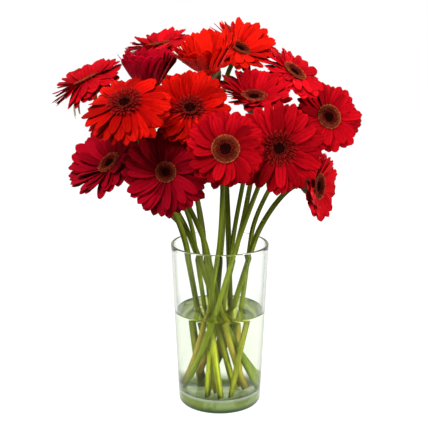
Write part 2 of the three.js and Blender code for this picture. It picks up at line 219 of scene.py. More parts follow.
# The eye: how high its florets stand at each distance from its middle
EYE_RADIUS = 13.8
EYE_RADII = (0.0, 4.5, 8.5, 11.5, 13.8)
EYE_HEIGHTS = (0.6, 1.0, 2.2, 3.1, 2.6)
EYE_FLORETS = 240
TUFTED_EYE_RADIUS = 9.4
GOLDEN_ANGLE = math.pi * (3 - math.sqrt(5))

# The cup under a calyx's bracts, as each ring's height from the eye and its radius
CUP_RINGS = ((-22.0, 3.6), (-19.5, 4.9), (-14.5, 8.8), (-8.5, 11.3), (-4.6, 12.1))

# A stem's section and cut end, and the distance of its rings in the vase and above it
STEM_SIDES = 14
STEM_RIBS = 7
STEM_RIB_DEPTH = 0.03
CUT_SLANT = 0.55
VASE_STEP = 20.0
NECK_STEP = 5.0


class Shells:
    """Gathers the closed shells of one piece, with each face's finish and each point's marks."""

    plain_marks = (0.5, 0.0, 0.5)

    def __init__(self):
        self.points = []
        self.marks = []
        self.faces = []
        self.finishes = []
        self.count = 0

    def add(self, points, faces, finish=0, marks=None):
        """Adds points (n, 3) in millimetres and faces that number them from 0."""
        points = np.asarray(points, float).reshape(-1, 3)
        if marks is None:
            marks = np.tile(self.plain_marks, (len(points), 1))
        offset = self.count
        self.points.append(points)
        self.marks.append(np.asarray(marks, float).reshape(-1, 3))
        self.faces.extend(tuple(int(corner) + offset for corner in face) for face in faces)
        self.finishes.extend([finish] * len(faces))
        self.count += len(points)

    def build(self, name, finishes, smooth=True):
        """Makes the piece's mesh object, in metres."""
        mesh = bpy.data.meshes.new(name)
        mesh.from_pydata((np.concatenate(self.points) * MM).tolist(), [], self.faces)
        mesh.polygons.foreach_set("material_index", self.finishes)
        mesh.polygons.foreach_set("use_smooth", [smooth] * len(self.faces))
        marks = mesh.attributes.new("marks", "FLOAT_VECTOR", "POINT")
        marks.data.foreach_set("vector", np.concatenate(self.marks).astype(np.float32).ravel())
        for finish in finishes:
            mesh.materials.append(finish)
        mesh.validate()
        mesh.update()
        piece = bpy.data.objects.new(name, mesh)
        bpy.context.scene.collection.objects.link(piece)
        return piece


def dress(piece, node, slot):
    """Puts a finished piece in the place of a solid, on the one body that everything rides on."""
    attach(piece, "root")
    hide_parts(node)


def grid_faces(along, across):
    """Faces of a closed blade: an upper and an under grid of points, joined round their edge."""
    wide = across + 1
    under = (along + 1) * wide
    faces = []
    for i in range(along):
        for j in range(across):
            a = i * wide + j
            faces.append((a, a + wide, a + wide + 1, a + 1))
            faces.append((under + a, under + a + 1, under + a + wide + 1, under + a + wide))
    edge = list(range(wide))
    edge += [i * wide + across for i in range(1, along + 1)]
    edge += [along * wide + j for j in range(across - 1, -1, -1)]
    edge += [i * wide for i in range(along - 1, 0, -1)]
    for here, there in zip(edge, edge[1:] + edge[:1]):
        faces.append((here, there, under + there, under + here))
    return faces


def ring_faces(rings, sides, first=0):
    """Faces between rings of points that follow one another from a first point on."""
    faces = []
    for low in range(first, first + (rings - 1) * sides, sides):
        for k in range(sides):
            n = (k + 1) % sides
            faces.append((low + k, low + n, low + sides + n, low + sides + k))
    return faces


def blade_relief(row, t, s, crown, tilt, ruffle, phase):
    """How far a blade's upper side stands off a flat strip: crown, tilt, ruffle, grooves and ribs."""
    relief = (1 - t) * ROOT_CROWN * row.crown * s ** 2 + crown * t * s ** 2
    relief = relief + tilt * s * np.minimum(TILT_GROWTH * t, 1)
    relief = relief + ruffle * np.sin(RUFFLE_WAVES * t + phase) * s ** 3
    for place in (-GROOVE_PLACE, GROOVE_PLACE):
        groove = np.exp(-(((s - place) / GROOVE_WIDTH) ** 2))
        relief = relief - row.groove * groove * np.minimum(GROOVE_GROWTH * t, 1)
    return relief + RIB_SHARE * row.groove * np.cos(RIB_WAVES * np.pi * s) * np.minimum(RIB_GROWTH * t, 1)


def add_row(shells, axes, row, draw, finish, tone=0.5):
    """Adds one row of blades. A blade leaves its root ring on a slope that changes evenly along
    it, with a grooved, crowned cross-section and three small teeth at a rounded tip."""
    eye, u, v, w = axes
    steepest = math.atan2(v[1], u[1]) - math.radians(row.side)
    t = (1 - (1 - np.linspace(0, 1, row.along_steps + 1)) ** TIP_CROWDING)[:, None]
    s = np.sin(0.5 * np.pi * np.linspace(-1, 1, row.across_steps + 1))[None, :]
    faces = grid_faces(row.along_steps, row.across_steps)
    swell = row.root + (1 - row.root) * np.sin(0.5 * np.pi * np.minimum(t / WIDEST_AT, 1))
    waist = 1 - row.narrowing * np.maximum(0, (t - NARROWS_FROM) / (1 - NARROWS_FROM)) ** 2
    thickness = row.thickness * (1 - EDGE_THINNING * s ** 4) * (1 - TIP_THINNING * t)

    def differ(share):
        """A blade's own difference from its row."""
        return share * row.spread * draw.uniform(-1, 1)

    for k in range(row.count):
        angle = row.turn + 2 * math.pi * row.arc * (k + differ(TURN_SPREAD)) / row.count
        length = row.length * (1 + differ(LENGTH_SPREAD))
        rise = math.radians(row.rise + differ(RISE_SPREAD) + row.fan * math.cos(angle - steepest))
        change = math.radians(row.curl - row.rise + differ(CURL_SPREAD))
        half = 0.5 * row.width * (1 + differ(WIDTH_SPREAD))
        tilt = row.tilt * (1 + TILT_SPREAD * draw.uniform(-1, 1))
        crown = row.crown * draw.uniform(*CROWN_RANGE)
        ruffle = row.ruffle * draw.uniform(-1, 1)
        phase = draw.uniform(0, 2 * math.pi)
        teeth = row.teeth * draw.uniform(*TEETH_RANGE)
        lean = differ(LEAN_SPREAD)
        shade = min(max(tone + SHADE_SPREAD * draw.uniform(-1, 1), 0), 1)
        reach = 1 - row.tip * np.abs(s) ** TIP_ROUNDNESS - teeth * np.abs(np.sin(TEETH_WAVES * np.pi * s))
        q = t * reach
        slope = rise + change * q
        mean = rise + change * q / 2
        out = row.start + length * q * np.cos(mean)
        up = row.height + length * q * np.sin(mean)
        side = s * half * swell * waist + lean * length * q ** 2
        radial = math.cos(angle) * u + math.sin(angle) * v
        across = -math.sin(angle) * u + math.cos(angle) * v
        relief = blade_relief(row, t, s, crown, tilt, ruffle, phase)
        levels = []
        for raised in (relief, relief - thickness):
            r = out - raised * np.sin(slope)
            z = up + raised * np.cos(slope)
            level = eye + r[..., None] * radial + side[..., None] * across + z[..., None] * w
            levels.append(level.reshape(-1, 3))
        marks = np.stack(np.broadcast_arrays(t, s, shade), -1).reshape(-1, 3)
        under = marks.copy()
        under[:, 0] = -1 - under[:, 0]
        shells.add(np.concatenate(levels), faces, finish, np.concatenate([marks, under]))


def add_lathe(shells, axes, profile, sides, finish=0, lobes=None, marks=None):
    """Adds a turned shell from (radius, height) rings, closed flat at both ends. The share that
    lobes gives for each ring pulls every second corner in."""
    eye, u, v, w = axes
    angles = np.arange(sides) * 2 * np.pi / sides
    rings = []
    for index, (radius, height) in enumerate(profile):
        size = np.full(sides, float(radius))
        if lobes:
            size[1::2] *= 1 - lobes[index]
        right = (size * np.cos(angles))[:, None] * u
        rings.append(eye + right + (size * np.sin(angles))[:, None] * v + height * w)
    faces = ring_faces(len(profile), sides)
    faces.append(tuple(range(sides - 1, -1, -1)))
    top = (len(profile) - 1) * sides
    faces.append(tuple(range(top, top + sides)))
    shades = None if marks is None else np.repeat(np.asarray(marks, float), sides, axis=0)
    shells.add(np.concatenate(rings), faces, finish, shades)


def flower_axes(flower):
    """The flower's eye and its own axes: u to its right, v up its face, w out of its face."""
    w = Vector(flower.facing).normalized()
    u = Vector((-w.y, w.x, 0))
    if w.z > UPRIGHT:
        u = Vector((1, 0, 0)) - w * w.x
    u.normalize()
    return np.array(flower.at, float), np.array(u), np.array(w.cross(u)), np.array(w)


def within(point, reach):
    """The point, brought in to at most a reach from the middle."""
    return point * (reach / point.length) if point.length > reach else point


def separate(one, other):
    """Pushes two straight stems apart at the height where they are nearest."""
    apart = one[0] - other[0]
    change = one[1] - other[1] - apart
    share = min(max(-apart.dot(change) / change.length_squared, 0), 1)
    apart = apart + change * share
    distance = apart.length
    if distance < STEM_SPACING:
        push = (STEM_SPACING - distance) / (2 * distance * ((1 - share) ** 2 + share ** 2))
        one[0] += apart * (push * (1 - share))
        one[1] += apart * (push * share)
        other[0] -= apart * (push * (1 - share))
        other[1] -= apart * (push * share)


def stem_lines():
    """Each stem's foot and the place where it passes the rim. In the vase it is straight and leans
    past the middle, up towards its flower, and every two stems keep apart all the way up."""
    lines = []
    for number, flower in enumerate(FLOWERS, 1):
        wide = flower.at[0] / BOUQUET_HALF_WIDTH
        deep = (flower.at[1] - BOUQUET_MIDDLE_Y) / BOUQUET_HALF_DEPTH
        rim = within(Vector((wide, deep)), 1) * RIM_REACH
        foot = rim * (-FOOT_REACH / RIM_REACH)
        foot.rotate(Matrix.Rotation(SIDE_SWING * math.sin(SIDE_STEP * number), 2))
        foot.y *= FOOT_DEPTH_SHARE
        lines.append([foot, rim])
    for _ in range(SPACING_ROUNDS):
        for index, line in enumerate(lines):
            for other in lines[index + 1:]:
                separate(line, other)
            line[0] = within(line[0], FOOT_REACH)
            line[1] = within(line[1], RIM_REACH)
    return lines


def line_point(line, height):
    """Where a stem is at a height in the vase."""
    share = (height - FLOOR_HEIGHT) / (RIM_HEIGHT - FLOOR_HEIGHT)
    level = line[0].lerp(line[1], share)
    return Vector((level.x, level.y, height))


def stem_path(line, flower):
    """A stem's middle line from its cut end to its neck, straight in the vase and curved above."""
    foot_height = FLOOR_HEIGHT + REST_GAP + (SHORT_STEM_LIFT if flower.short else 0)
    foot = line_point(line, foot_height)
    rim = line_point(line, RIM_HEIGHT)
    lean = (rim - line_point(line, FLOOR_HEIGHT)).normalized()
    facing = Vector(flower.facing).normalized()
    neck = Vector(flower.at) - facing * CALYX_DEPTH
    span = (neck - rim).length
    leave = rim + lean * RIM_LEAD * span
    arrive = neck - facing * (NECK_LEAD + NECK_LEAD_UPRIGHT * facing.z) * span
    steps = int((rim - foot).length / VASE_STEP)
    points = [foot.lerp(rim, k / steps) for k in range(steps)]
    steps = int(span / NECK_STEP)
    for k in range(steps + 1):
        t = k / steps
        low = rim * (1 - t) ** 3 + leave * 3 * t * (1 - t) ** 2
        points.append(low + arrive * 3 * t ** 2 * (1 - t) + neck * t ** 3)
    return points


# Finishes. Heights and distances in them are metres, as the shader has them

# How much petals and florets shine
PETAL_GLOSS = 0.04

# Stems: pale fibres, yellow patches, the brown or dark green that some take on in the water, how far above
# the water's surface the painted lighter green of the stems in the water begins and how far below it it is
# whole, and the wine red of the bracts' tips
PALE_FIBRE = (0.24, 0.27, 0.03)
YELLOW_PATCH = (0.30, 0.26, 0.06)
WET_BROWN = (0.30, 0.20, 0.04)
WET_DARK = (0.09, 0.13, 0.01)
DRY_ABOVE = 0.02
WET_BELOW = 0.05
WINE_TIP = (0.09, 0.012, 0.012)

# Glass: its painted shade where it is seen edge-on, the foot's two olives, partly the thick glass's own
# green and partly painted reflections of a darker table, the dark green painted low on its outer wall as a
# reflection of that table, the painted highlight that the lip glows with, and what its depth lets through
GLASS_IOR = 1.5
GLASS_EDGE_SHADE = (0.07, 0.072, 0.022)
FOOT_OLIVES_AND_REFLECTIONS = ((0.055, 0.08, 0.003), (0.12, 0.17, 0.03))
FOOT_ZONE = (0.014, 0.030)
CORNER_DARK_REFLECTION = (0.0003, 0.007, 0.0006)
CORNER_ZONE = (0.004, 0.013)
OUTER_WALL = (0.0475, 0.0485)
LIP_PAINTED_HIGHLIGHT = (0.10, 0.10, 0.04)
LIP_ZONE = (0.2030, 0.2042)
GLASS_DEPTH = (0.50, 0.70, 0.40)
GLASS_DENSITY = 9.0

# Water: its painted shade where it is seen edge-on, a painted reflection of the stems' green on its surface
# between two depths, and what its depth lets through
WATER_IOR = 1.333
WATER_EDGE_SHADE = (0.60, 0.62, 0.45)
SURFACE_REFLECTED_GREEN = (0.45, 0.49, 0.010)
SURFACE_SHARE = 0.97
SURFACE_ZONE = (0.0006, 0.0002)
WATER_DEPTH = (0.80, 0.86, 0.50)
WATER_DENSITY = 3.0


class Number:
    """A number or a colour in a finish. Sums on it add Math nodes."""

    def __init__(self, finish, socket):
        self.finish = finish
        self.socket = socket

    def _math(self, operation, *values):
        return self.finish.node("ShaderNodeMath", {"operation": operation}, dict(enumerate(values)))

    def __add__(self, other):
        return self._math("ADD", self, other)

    __radd__ = __add__

    def __sub__(self, other):
        return self._math("SUBTRACT", self, other)

    def __rsub__(self, other):
        return self._math("SUBTRACT", other, self)

    def __mul__(self, other):
        return self._math("MULTIPLY", self, other)

    __rmul__ = __mul__

    def __abs__(self):
        return self._math("ABSOLUTE", self)


class Nodes:
    """A tree of shader nodes, of a finish or of the light all round."""

    def __init__(self, tree):
        self.tree = tree

    def node(self, kind, settings, inputs, output=0):
        """Adds a node of any kind, sets it, then fills its sockets with values or links."""
        node = self.tree.nodes.new(kind)
        for name, value in settings.items():
            setattr(node, name, value)
        for key, value in inputs.items():
            if isinstance(value, Number):
                self.tree.links.new(value.socket, node.inputs[key])
            else:
                node.inputs[key].default_value = value
        return Number(self, node.outputs[output])

    def part(self, vector, axis):
        return self.node("ShaderNodeSeparateXYZ", {}, {0: vector}, axis)

    def mark(self, axis):
        """One of the marks that a mesh carries: how far along, how far across, and its own shade."""
        return self.part(self.node("ShaderNodeAttribute", {"attribute_name": "marks"}, {}, "Vector"), axis)

    def place(self):
        return self.node("ShaderNodeTexCoord", {}, {}, "Object")

    def vector(self, x, y, z):
        return self.node("ShaderNodeCombineXYZ", {}, {0: x, 1: y, 2: z})

    def noise(self, where, scale, detail, roughness=0.5):
        return self.node("ShaderNodeTexNoise", {},
                         {"Vector": where, "Scale": scale, "Detail": detail, "Roughness": roughness}, "Fac")

    def step(self, value, low, high, out_low=0.0, out_high=1.0):
        """A smooth step of value from low to high."""
        return self.node("ShaderNodeMapRange", {"interpolation_type": "SMOOTHSTEP"},
                         {0: value, 1: low, 2: high, 3: out_low, 4: out_high})

    def light_path(self, ray):
        return self.node("ShaderNodeLightPath", {}, {}, ray)

    def mix(self, factor, first, second):
        """Mixes two colours, each a colour or a link."""
        colours = {6: first, 7: second}
        for key, colour in colours.items():
            if not isinstance(colour, Number):
                colours[key] = (*colour, 1)
        return self.node("ShaderNodeMix", {"data_type": "RGBA"}, {0: factor, **colours}, 2)

    def layered(self, colour, *layers):
        """A colour under layers, each of them a share and a colour."""
        for share, layer in layers:
            colour = self.mix(share, colour, layer)
        return colour


class Finish(Nodes):
    """A procedural finish: a material with one principled shader, and the nodes that feed it."""

    def __init__(self, name, **constants):
        self.material = bpy.data.materials.new(name)
        self.material.use_nodes = True
        super().__init__(self.material.node_tree)
        self.shader = self.tree.nodes["Principled BSDF"]
        for socket, value in constants.items():
            self.shader.inputs[socket.replace("_", " ")].default_value = value

    def bump(self, height, distance, strength=1.0):
        return self.node("ShaderNodeBump", {},
                         {"Height": height, "Distance": distance, "Strength": strength})

    def feed(self, **sockets):
        """Feeds the shader's varying sockets."""
        for name, value in sockets.items():
            self.tree.links.new(value.socket, self.shader.inputs[name.replace("_", " ")])
        return self.material

    def feed_grained(self, colour, scale, detail, rough, depth):
        """Feeds the shader a colour, and a fine grain in its roughness and its surface."""
        grain = self.noise(self.place(), scale, detail)
        return self.feed(Base_Color=colour, Roughness=self.step(grain, 0.3, 0.7, *rough),
                         Normal=self.bump(grain, depth, 0.5))


def scaled(colour, share):
    return tuple(channel * share for channel in colour)


def petal_finish(name, red, glow, pale_and_lit_under_red):
    """Silky petal: painted shade at the root and along its grooves, finely veined, and another red
    underneath, paler and partly painted light.
    """
    finish = Finish(name, Specular_IOR_Level=PETAL_GLOSS, Specular_Tint=(0.8, 0.04, 0.05, 1))
    signed = finish.mark("X")
    across = finish.mark("Y")
    tone = finish.mark("Z")
    # The first mark runs from 0 to 1 along the upper side of a petal, and from -1 to -2 along its underside
    under = finish.step(signed, -0.6, -0.5, 1.0, 0.0)
    along = finish.node("ShaderNodeMix", {"data_type": "FLOAT"}, {0: under, 2: signed, 3: -1.0 - signed})
    # A petal's own shade shifts its veins, so that no two petals are alike
    lengthwise = finish.vector(along * 2.2 + tone * 31.0, across * 11.0, tone * 7.0)
    veins = finish.noise(lengthwise, 1.6, 4.0, 0.6)
    dark_veins = finish.step(veins, 0.42, 0.7)
    pale_highlight_streaks = finish.step(finish.noise(lengthwise, 2.6, 2.0), 0.52, 0.68)
    groove = finish.step(abs(abs(across) - GROOVE_PLACE), 0.0, 0.16, 1.0, 0.0)
    root = finish.step(along, 0.0, 0.5, 1.0, 0.0)
    tip = finish.step(along, 0.5, 1.0)
    # A darker red: painted shade at the root, in the grooves and on petals of low tone
    shadow = scaled(red, 0.4)
    colour = finish.layered(
        tuple(red),
        (tip * 0.6, glow),
        (root * 0.6, shadow),
        (groove * 0.5, shadow),
        (dark_veins * 0.6, scaled(red, 0.45)),
        # The flower's tone paints its petals lighter or darker as painted light and shade, with a random
        # share per petal
        (finish.step(tone, 0.5, 1.0) * 0.9, scaled(glow, 1.2)),
        (finish.step(tone, 0.5, 0.0) * 0.9, shadow),
        # The underside is paler, and lighter still as painted light shining through the petal; its pale
        # streaks are partly painted highlights
        (under * 0.75, pale_and_lit_under_red),
        (under * pale_highlight_streaks * 0.35, scaled(glow, 1.1)),
    )
    height = finish.step(veins, 0.3, 0.75) - groove * 0.6
    return finish.feed(Base_Color=colour, Roughness=finish.step(veins, 0.2, 0.8, 0.4, 0.6),
                       Normal=finish.bump(height, 0.0004, 0.7))


def floret_finish(name, deep, pale, pale_from):
    """Matt floret: one colour at its root and another at its tip, uneven from one to the next."""
    finish = Finish(name, Specular_IOR_Level=PETAL_GLOSS, Specular_Tint=(0.9, 0.3, 0.2, 1))
    colour = finish.layered(
        deep,
        (finish.step(abs(finish.mark("X")), pale_from - 0.2, pale_from + 0.2), pale),
        (finish.step(finish.mark("Z"), 0.2, 0.8) * 0.45, scaled(deep, 0.6)),
    )
    return finish.feed_grained(colour, 900.0, 2.0, (0.6, 0.85), 0.0001)


def stem_finish(name, green, lit_underwater_green, water_level):
    """Stem: olive green with fine lengthwise fibres, and a yellower, paler green painted where it stands in
    water, as painted light for how it looks lit through the water and glass.
    """
    finish = Finish(name, Specular_IOR_Level=0.08, Specular_Tint=(0.8, 0.9, 0.4, 1))
    where = finish.place()
    height = finish.part(where, "Z")
    around = finish.mark("Y")
    tone = finish.mark("Z")
    in_water = finish.step(height, water_level + DRY_ABOVE, water_level - WET_BELOW)
    fibres = finish.noise(finish.vector(around * 11.0, height * 9.0, tone * 9.0), 1.0, 3.0, 0.6)
    patches = finish.noise(where, 26.0, 2.0)
    colour = finish.layered(
        tuple(green),
        # Painted light: a lighter, yellower green for how a stem looks lit through the water and glass
        (in_water, tuple(lit_underwater_green)),
        (finish.step(fibres, 0.52, 0.42) * 0.7, scaled(green, 0.4)),
        (finish.step(fibres, 0.55, 0.7) * 0.5, PALE_FIBRE),
        (finish.step(patches, 0.5, 0.8) * 0.35, YELLOW_PATCH),
        (in_water * finish.step(tone, 0.55, 0.75) * 0.6, WET_BROWN),
        (in_water * finish.step(tone, 0.35, 0.2) * 0.6, WET_DARK),
    )
    return finish.feed(Base_Color=colour, Roughness=finish.step(fibres, 0.2, 0.8, 0.42, 0.65),
                       Normal=finish.bump(fibres, 0.0003, 0.5))


def bract_finish(name, green):
    """Calyx bract: dark green, paler along its edges, with a wine-red tip."""
    finish = Finish(name, Specular_IOR_Level=0.3)
    colour = finish.layered(
        tuple(green),
        (finish.step(abs(finish.mark("Y")), 0.4, 1.0) * 0.5, scaled(green, 1.9)),
        (finish.step(abs(finish.mark("X")), 0.75, 1.0) * 0.7, WINE_TIP),
        (finish.step(finish.mark("Z"), 0.3, 0.8) * 0.4, scaled(green, 0.5)),
    )
    return finish.feed_grained(colour, 700.0, 3.0, (0.5, 0.75), 0.0002)


class ClearFinish(Finish):
    """Glass or water: clear, with slow waves in its surface, and a painted shade where it is seen edge-on.
    """

    wave_scale = 14.0
    wave_shade = 0.985
    shadow_shade = 0.97

    def __init__(self, name, tint, edge_shade, ior, glow=0.0):
        super().__init__(name, Transmission_Weight=1.0, IOR=ior, Roughness=0.0,
                         Specular_Tint=(0.12, 0.12, 0.12, 1), Emission_Strength=glow)
        self.tint = tuple(tint)
        self.where = self.place()
        self.height = self.part(self.where, "Z")
        self.waves = self.noise(self.where, self.wave_scale, 1.0)
        edge = self.node("ShaderNodeLayerWeight", {}, {"Blend": 0.5}, "Facing")
        self.colour = self.layered(
            self.tint,
            (self.step(self.waves, 0.3, 0.7), scaled(self.tint, self.wave_shade)),
            # Painted shade where the surface is seen edge-on
            (self.step(edge, 0.5, 0.97), edge_shade),
        )

    def zone(self, share, tint):
        """Tints the surface where a share of 0 to 1 says."""
        self.colour = self.mix(share, self.colour, tint)

    def close(self, wave_height, depth_tint, density):
        """Finishes the material: lamps shine through it, and its depth takes light away."""
        self.feed(Base_Color=self.colour, Normal=self.bump(self.waves, wave_height))
        lamp_light = self.node("ShaderNodeBsdfTransparent", {},
                               {"Color": (*scaled(self.tint, self.shadow_shade), 1)})
        shader = Number(self, self.shader.outputs[0])
        surface = self.node("ShaderNodeMixShader", {},
                            {0: self.light_path("Is Shadow Ray"), 1: shader, 2: lamp_light})
        depth = self.node("ShaderNodeVolumeAbsorption", {}, {"Color": (*depth_tint, 1), "Density": density})
        output = self.tree.nodes["Material Output"]
        self.tree.links.new(surface.socket, output.inputs["Surface"])
        self.tree.links.new(depth.socket, output.inputs["Volume"])
        return self.material


def glass_finish(name, tint):
    """Clear pressed glass, with a painted olive shade where it is seen edge-on, and a green foot, darkest at
    its corner, partly the glass's own green and partly a painted reflection of a darker table.
    """
    finish = ClearFinish(name, tint, GLASS_EDGE_SHADE, GLASS_IOR, 1.0)
    across = finish.node("ShaderNodeVectorMath", {"operation": "MULTIPLY"}, {0: finish.where, 1: (1, 1, 0)})
    radius = finish.node("ShaderNodeVectorMath", {"operation": "LENGTH"}, {0: across}, "Value")
    reflection_streaks = finish.step(finish.noise(finish.where, 60.0, 2.0), 0.42, 0.6)
    foot = finish.step(finish.height, *FOOT_ZONE, 1.0, 0.0)
    corner = finish.step(finish.height, *CORNER_ZONE, 1.0, 0.0) * finish.step(radius, *OUTER_WALL)
    # The foot's olives are partly the thick glass's green and partly painted reflections; the corner is a
    # painted dark reflection
    finish.zone(foot, finish.mix(reflection_streaks, *FOOT_OLIVES_AND_REFLECTIONS))
    finish.zone(corner, CORNER_DARK_REFLECTION)
    # The lip glows faintly: a painted highlight along the rim
    finish.feed(Emission_Color=finish.mix(finish.step(finish.height, *LIP_ZONE), (0, 0, 0), LIP_PAINTED_HIGHLIGHT))
    return finish.close(0.0004, GLASS_DEPTH, GLASS_DENSITY)


def water_finish(name, tint, level):
    """Clear water, tinted by the stems, with a painted reflection of their olive green on its surface."""
    finish = ClearFinish(name, tint, WATER_EDGE_SHADE, WATER_IOR)
    low, high = (level - depth for depth in SURFACE_ZONE)
    # A painted reflection of the stems' olive green at the surface
    finish.zone(finish.step(finish.height, low, high, 0.0, SURFACE_SHARE), SURFACE_REFLECTED_GREEN)
    return finish.close(0.0002, WATER_DEPTH, WATER_DENSITY)


def floor_finish(name, shade, glow):
    """White table lit from below, with a grain too fine to see from afar."""
    finish = Finish(name, Specular_IOR_Level=0.0, Emission_Color=(1, 1, 1, 1), Emission_Strength=glow)
    grain = finish.noise(finish.place(), 40.0, 3.0)
    colour = finish.mix(finish.step(grain, 0.2, 0.8), tuple(shade), scaled(shade, 0.99))
    return finish.feed(Base_Color=colour, Roughness=finish.step(grain, 0.2, 0.8, 0.85, 0.95))


# What a user would change


class VaseSettings(bpy.types.PropertyGroup):
    """The vase and its water."""

    height: FloatProperty(name="Height", description="Height of the vase",
                          default=VASE_BOX[1].z, unit="LENGTH")
    rim_radius: FloatProperty(name="Rim radius", description="Outer radius of the rim",
                              default=VASE_BOX[1].x, unit="LENGTH")
    foot_radius: FloatProperty(name="Foot radius", description="Outer radius at the foot, before its corner",
                               default=0.051, unit="LENGTH")
    wall: FloatProperty(name="Wall", description="Thickness of the glass wall",
                        default=0.003, unit="LENGTH")
    floor: FloatProperty(name="Floor", description="Thickness of the glass floor",
                         default=FLOOR_HEIGHT * MM, unit="LENGTH")
    water_level: FloatProperty(name="Water level", description="Height of the water's surface",
                               default=WATER_BOX[1].z, unit="LENGTH")
    glass_tint: FloatVectorProperty(name="Glass tint", description="Colour of the glass at its surface",
                                    default=(0.975, 0.995, 0.97), subtype="COLOR", min=0, max=1)
    water_tint: FloatVectorProperty(name="Water tint", description="Colour of the water at its surface",
                                    default=(0.99, 1.0, 0.97), subtype="COLOR", min=0, max=1)


class FlowerSettings(bpy.types.PropertyGroup):
    """The flower heads."""

    petals_in_row: IntProperty(name="Petals in a row", description="Petals in each of the two long rows",
                               default=19, min=8, max=40)
    petal_width: FloatProperty(name="Petal width", description="Greatest width of a petal",
                               default=0.0146, unit="LENGTH")
    groove_depth: FloatProperty(name="Groove depth", description="Depth of a petal's two lengthwise grooves",
                                default=0.00035, unit="LENGTH")
    # The bright red is an orange-red, partly painted light on the best-lit flowers; the dark red is painted
    # shade
    bright_red: FloatVectorProperty(name="Bright red", description="Orange-red of the brightest flowers",
                                    default=(0.30, 0.0016, 0.001), subtype="COLOR", min=0, max=1)
    middle_red: FloatVectorProperty(name="Middle red", description="Crimson red of most flowers",
                                    default=(0.25, 0.0010, 0.004), subtype="COLOR", min=0, max=1)
    dark_red: FloatVectorProperty(name="Dark red", description="Deep crimson of the darkest flowers",
                                  default=(0.125, 0.0006, 0.004), subtype="COLOR", min=0, max=1)


class StemSettings(bpy.types.PropertyGroup):
    """The stems and their calyces."""

    radius: FloatProperty(name="Radius", description="Radius of a stem at its foot",
                          default=0.0032, unit="LENGTH")
    green: FloatVectorProperty(name="Green", description="Green above the water",
                               default=(0.088, 0.112, 0.006), subtype="COLOR", min=0, max=1)
    # A lighter, yellower green painted for how the stems look lit through the water and glass
    lit_underwater_green: FloatVectorProperty(name="Wet green", description="Green in the water",
                                   default=(0.13, 0.14, 0.006), subtype="COLOR", min=0, max=1)
    bract_green: FloatVectorProperty(name="Bract green", description="Green of the calyx",
                                     default=(0.05, 0.085, 0.014), subtype="COLOR", min=0, max=1)


class StageSettings(bpy.types.PropertyGroup):
    """The studio: its floor, its light and the camera."""

    floor_shade: FloatVectorProperty(name="Floor", description="Colour of the floor",
                                     default=(0.1, 0.1, 0.1), subtype="COLOR", min=0, max=1)
    floor_glow: FloatProperty(name="Floor glow", description="Light that the floor gives of itself",
                              default=0.97)
    sky_strength: FloatProperty(name="Backdrop", description="Brightness of the white backdrop",
                                default=1.0)
    sky_light: FloatProperty(name="Soft light", description="Strength of the even light all round",
                             default=0.32)
    key_power: FloatProperty(name="Key light", description="Watts of the large lamp above the front",
                             default=54.0)
    left_power: FloatProperty(name="Left light", description="Watts of the strip on the left", default=5.0)
    right_power: FloatProperty(name="Right light", description="Watts of the strip on the right",
                               default=25.0)
    back_power: FloatProperty(name="Back light", description="Watts of the lamp behind", default=16.0)
    camera_distance: FloatProperty(name="Camera distance", description="From the vase's axis to the camera",
                                   default=1.124, unit="LENGTH")
    camera_height: FloatProperty(name="Camera height", description="Height of the camera",
                                 default=0.5, unit="LENGTH")
    camera_pitch: FloatProperty(name="Camera pitch", description="How far the camera looks down",
                                default=math.radians(13), unit="ROTATION")
    camera_yaw: FloatProperty(name="Camera yaw", description="How far the camera looks left of the vase",
                              default=math.radians(0.363), unit="ROTATION")
    lens: FloatProperty(name="Lens", description="Focal length on a 36 mm sensor, in millimetres",
                        default=79.74)


# The pieces


def arc(radius, height, size, start, stop, steps):
    """Points of a circle's arc, as (radius, height)."""
    angles = np.linspace(math.radians(start), math.radians(stop), steps + 1)
    return [(radius + size * math.cos(angle), height + size * math.sin(angle)) for angle in angles]


def turned_shell(shells, profile, sides, lift=None):
    """Adds a closed shell turned about the vase's axis. The profile starts and ends on the axis."""
    angles = np.arange(sides) * 2 * np.pi / sides
    inner = profile[1:-1]
    points = [(0, 0, profile[0][1])]
    for radius, height in inner:
        for angle in angles:
            x = radius * math.cos(angle)
            y = radius * math.sin(angle)
            points.append((x, y, height + (lift(x, y, height) if lift else 0)))
    points.append((0, 0, profile[-1][1]))
    last = len(points) - 1
    top = 1 + (len(inner) - 1) * sides
    faces = ring_faces(len(inner), sides, 1)
    for k in range(sides):
        n = (k + 1) % sides
        faces.append((0, 1 + n, 1 + k))
        faces.append((last, top + k, top + n))
    shells.add(points, faces)


class VaseSizes:
    """The vase's sizes in millimetres, worked out from its settings, and the steps of its mesh."""

    corner = 6.0
    inner_corner = 7.0
    flat_radius = 20.0
    outer_wall_from = 20.0
    inner_wall_from = 26.0
    below_rim = 8.0
    sides = 144
    wall_steps = 12
    round_steps = 10
    corner_steps = 8

    def __init__(self, vase):
        self.height = vase.height / MM
        self.rim = vase.rim_radius / MM
        self.foot = vase.foot_radius / MM
        self.wall = vase.wall / MM
        self.floor = vase.floor / MM
        self.level = vase.water_level / MM
        self.corner_middle = (self.inner(self.floor) - self.inner_corner, self.floor + self.inner_corner)

    def outer(self, height):
        return self.foot + (self.rim - self.foot) * height / self.height

    def inner(self, height):
        return self.outer(height) - self.wall

    def wall_line(self, side, start, stop):
        """Points along one side of the wall, as (radius, height)."""
        return [(side(height), height) for height in np.linspace(start, stop, self.wall_steps)]


